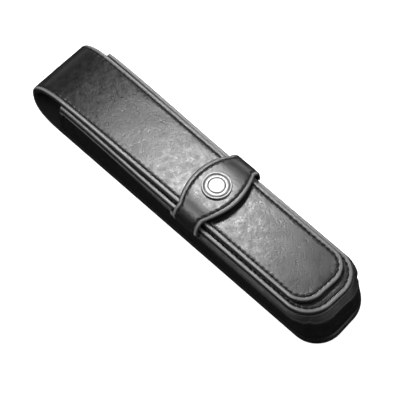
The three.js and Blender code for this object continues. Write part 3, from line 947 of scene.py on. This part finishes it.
# ---- Keeper strap ----------------------------------------------------------------------------
KEEPER_CROWN = 0.05         # how far the strap's middle rises over its CAD height
KEEPER_SQUARENESS = 3.4     # 2 would bend it like half an ellipse
KEEPER_SPREAD = 0.25        # how far its sides belly out past their CAD width
KEEPER_BOW = 4.3            # how much each long edge bows out
KEEPER_BOW_REACH = 15.4     # middle of the strap to where its edges run straight down


class Arch:
    """Side view of the keeper's outer face, across the case: t is the distance from its middle."""

    STEPS = 800

    def __init__(self):
        half_width = KEEPER_HALF_WIDTH + KEEPER_SPREAD
        rise = KEEPER_TOP + KEEPER_CROWN - WALL_TOP
        angle = np.linspace(math.pi, 0, self.STEPS)
        power = 2 / KEEPER_SQUARENESS
        y = half_width * np.sign(np.cos(angle)) * np.abs(np.cos(angle)) ** power
        z = WALL_TOP + rise * np.sin(angle).clip(0, 1) ** power
        step = np.hypot(np.diff(y), np.diff(z))
        along = np.concatenate([[0], np.cumsum(step)])
        self.length = float(along[-1]) / 2
        self.t, self.y, self.z = along - self.length, y, z
        ty, tz = np.gradient(y, along), np.gradient(z, along)
        size = np.hypot(ty, tz)
        self.ny, self.nz = -tz / size, ty / size

    def at(self, t, across, depth):
        t = np.asarray(t, float)
        curves = (self.y, self.z, self.ny, self.nz)
        y, z, ny, nz = (np.interp(t, self.t, values) for values in curves)
        return np.stack([KEEPER_MID + across + 0 * y, y - ny * depth, z - nz * depth], -1)

    def half(self, t):
        y = np.interp(t, self.t, self.y)
        share = np.clip(np.abs(y) / KEEPER_BOW_REACH, 0, 1)
        return KEEPER_HALF_LENGTH - KEEPER_BOW * share ** 2


arch = Arch()
KEEPER_SKIN = KEEPER_LEATHER - 0.05
keeper_top = [(inset, depth) for inset, depth in SEWN_TOP if depth < 0.5]
keeper_leather = keeper_top + [
    (0.0, 0.62), (0.03, 0.85), (0.14, 1.0),
    (0.4, KEEPER_SKIN), (4.0, KEEPER_SKIN), (9.0, KEEPER_SKIN)]
keeper_lining = [
    (9.0, KEEPER_LEATHER), (0.5, KEEPER_LEATHER), (0.35, KEEPER_LEATHER + 0.08),
    (0.4, KEEPER_LEATHER + 0.25), (0.6, KEEPER_LEATHER + 0.33), (9.0, KEEPER_LEATHER + 0.33)]

dress(strip_piece("keeper_strap_leather", -arch.length, arch.length, keeper_leather, True, arch),
      LEATHER, "pouch", ["keeper_leather"])
dress(strip_piece("keeper_strap_lining", -arch.length, arch.length, keeper_lining, False, arch),
      LINING, "pouch", ["keeper_lining"])
dress(strip_stitches("keeper_strap_stitches", -arch.length, arch.length, arch),
      THREAD, "pouch", ["keeper_thread_rear", "keeper_thread_front"])


# ---- Badge -----------------------------------------------------------------------------------
RINGS = ((0.92, 1.42), (2.55, 3.0))   # the two enamelled grooves, as distances in from the edge
SEAT = KEEPER_TOP - 0.2
BADGE_LEVEL = high("badge", 2)
GROOVE_DEPTH = 0.62
SEGMENTS = 96


def lathe(name, profiles, closed):
    """Profiles of (radius, z) turned about the badge's axis; closed ones are rings."""
    points, faces = [], []
    for profile in profiles:
        base = len(points)
        for radius, z in profile:
            for k in range(SEGMENTS):
                angle = 2 * math.pi * k / SEGMENTS
                points.append((KEEPER_MID + radius * math.cos(angle), radius * math.sin(angle), z))
        for ring in range(len(profile) if closed else len(profile) - 1):
            upper = (ring + 1) % len(profile)
            for k in range(SEGMENTS):
                turned = (k + 1) % SEGMENTS
                this, following = base + ring * SEGMENTS, base + upper * SEGMENTS
                faces.append((this + k, this + turned, following + turned, following + k))
    return finish_mesh(name, points, faces)


def badge_piece():
    """A plain domed disc inside a rolled rim, with two turned grooves."""
    r, level = BADGE_RADIUS, BADGE_LEVEL
    rim, floor_z = level - SEAT, level - GROOVE_DEPTH
    (near_one, far_one), (near_two, far_two) = RINGS
    profile = [
        (0.0, SEAT), (r - 0.35, SEAT), (r - 0.12, SEAT + 0.12), (r, SEAT + 0.42),
        (r, SEAT + 0.6 * rim), (r - 0.07, SEAT + 0.78 * rim), (r - 0.22, SEAT + 0.9 * rim),
        (r - 0.42, SEAT + 0.94 * rim), (r - 0.64, SEAT + 0.9 * rim), (r - 0.82, SEAT + 0.8 * rim),
        (r - near_one, SEAT + 0.68 * rim), (r - near_one, floor_z), (r - far_one, floor_z),
        (r - far_one - 0.02, level - 0.34), (r - far_one - 0.14, level - 0.26),
        (r - near_two + 0.14, level - 0.17), (r - near_two + 0.02, level - 0.22),
        (r - near_two, floor_z), (r - far_two, floor_z), (r - far_two - 0.02, level - 0.24),
    ]
    dome = r - far_two - 0.16
    for share in (1.0, 0.93, 0.8, 0.62, 0.45, 0.3, 0.15, 0.0):
        profile.append((dome * share, level - 0.16 * share ** 2))
    return lathe("badge_disc", [profile], False)


def enamel_piece():
    """Black enamel laid in both grooves, a little hollow between their walls."""
    floor_z = BADGE_LEVEL - GROOVE_DEPTH
    profiles = []
    for near, far in RINGS:
        outer, inner = BADGE_RADIUS - near - 0.005, BADGE_RADIUS - far + 0.005
        middle = (outer + inner) / 2
        profiles.append([
            (outer, floor_z), (outer, floor_z + 0.2), (outer - 0.055, floor_z + 0.16),
            (middle, floor_z + 0.13), (inner + 0.055, floor_z + 0.16), (inner, floor_z + 0.2),
            (inner, floor_z)])
    return lathe("badge_enamel", profiles, True)


dress(badge_piece(), SILVER, "pouch", ["badge"])
dress(enamel_piece(), ENAMEL, "pouch")

# ---- CAD pieces that stay --------------------------------------------------------------------
KEPT = {
    "back_board": BOARD, "front_board": BOARD, "tongue_board": BOARD,
    "gusset_lining": LINING, "badge_backplate": STEEL,
}
for node, material in KEPT.items():
    mesh = frame["nodes"][node].data
    for index in range(len(mesh.materials)):
        mesh.materials[index] = material
    if not mesh.materials:
        mesh.materials.append(material)

# ---- Camera ----------------------------------------------------------------------------------
AZIMUTH, ELEVATION = 44.5, 61.05
ROLL = math.radians(-0.12)
DISTANCE = 1.7024
TARGET = Vector((0.009473, -0.003844, 0.010))
SENSOR = 36.0
LENS = 353.75


def bearing(azimuth, elevation):
    """Unit vector out from the case in degrees; azimuth 0 is the -Y side, 90 the closed end."""
    turn, rise = math.radians(azimuth), math.radians(elevation)
    flat = math.cos(rise)
    return Vector((math.sin(turn) * flat, -math.cos(turn) * flat, math.sin(rise)))


toward = bearing(AZIMUTH, ELEVATION)
flat_right = Vector((0, 0, 1)).cross(toward).normalized()
flat_up = toward.cross(flat_right)
right = math.cos(ROLL) * flat_right + math.sin(ROLL) * flat_up
up = -math.sin(ROLL) * flat_right + math.cos(ROLL) * flat_up
camera_data = bpy.data.cameras.new("camera")
camera_data.lens, camera_data.sensor_width = LENS, SENSOR
camera_data.clip_end = 10
camera = bpy.data.objects.new("camera", camera_data)
bpy.context.scene.collection.objects.link(camera)
place = TARGET + toward * DISTANCE
camera.matrix_world = Matrix((
    (right.x, up.x, toward.x, place.x), (right.y, up.y, toward.y, place.y),
    (right.z, up.z, toward.z, place.z), (0, 0, 0, 1)))
bpy.context.scene.camera = camera


# ---- Light and floor -------------------------------------------------------------------------
def softbox(name, azimuth, elevation, distance, size, power, aim=(0, 0, 0.015)):
    """A soft light facing aim from that bearing and distance, in metres and watts."""
    direction = bearing(azimuth, elevation)
    data = bpy.data.lights.new(name, "AREA")
    data.shape = "RECTANGLE"
    data.size, data.size_y = size
    data.energy = power
    lamp = bpy.data.objects.new(name, data)
    bpy.context.scene.collection.objects.link(lamp)
    lamp.location = Vector(aim) + direction * distance
    lamp.rotation_euler = direction.to_track_quat("Z", "Y").to_euler()
    lamp.visible_camera = False


softbox("window", 224.5, 60.5, 0.2, (0.06, 0.05), 0.43, aim=(0.009, -0.016, 0.021))
softbox("overhead", 40, 84, 1.1, (0.6, 0.6), 0.6)
softbox("near_fill", 342, 26, 0.6, (0.5, 0.14), 0.2)
softbox("left_card", 250, 3, 0.5, (0.4, 0.05), 0.08)
softbox("end_card", 110, 25, 0.6, (0.3, 0.14), 0.7)
softbox("near_high", 316, 60, 0.6, (0.4, 0.1), 2.0)
softbox("end_high", 133, 60, 0.6, (0.3, 0.1), 0.7)
softbox("far_low", 202, 23, 0.6, (0.5, 0.1), 0.9)

FLOOR_REACH = 1.6
FLOOR_DROP = 0.0003     # keeps the floor clear of the case's underside
FLOOR_GLOW = 0.9        # the floor lights itself evenly, so that the case casts little shadow

floor_mesh = bpy.data.meshes.new("floor")
corners = [(FLOOR_REACH * x, FLOOR_REACH * y, 0) for x, y in ((-1, -1), (1, -1), (1, 1), (-1, 1))]
floor_mesh.from_pydata(corners, [], [(0, 1, 2, 3)])
floor = bpy.data.objects.new("floor", floor_mesh)
floor.location.z = -FLOOR_DROP
bpy.context.scene.collection.objects.link(floor)
pale = Look("pale_floor")
pale.surface("Base Color", grey(0.6))
pale.surface("Emission Color", grey(1.0))
pale.surface("Emission Strength", FLOOR_GLOW)
pale.surface("Roughness", 1.0)
pale.surface("Specular IOR Level", 0.0)
floor_mesh.materials.append(pale.material)
floor.visible_glossy = False

world = bpy.data.worlds.new("studio")
world.use_nodes = True
world.node_tree.nodes["Background"].inputs["Color"].default_value = grey(1.0)
world.node_tree.nodes["Background"].inputs["Strength"].default_value = 0.02
bpy.context.scene.world = world
bpy.context.scene.view_settings.view_transform = "Standard"
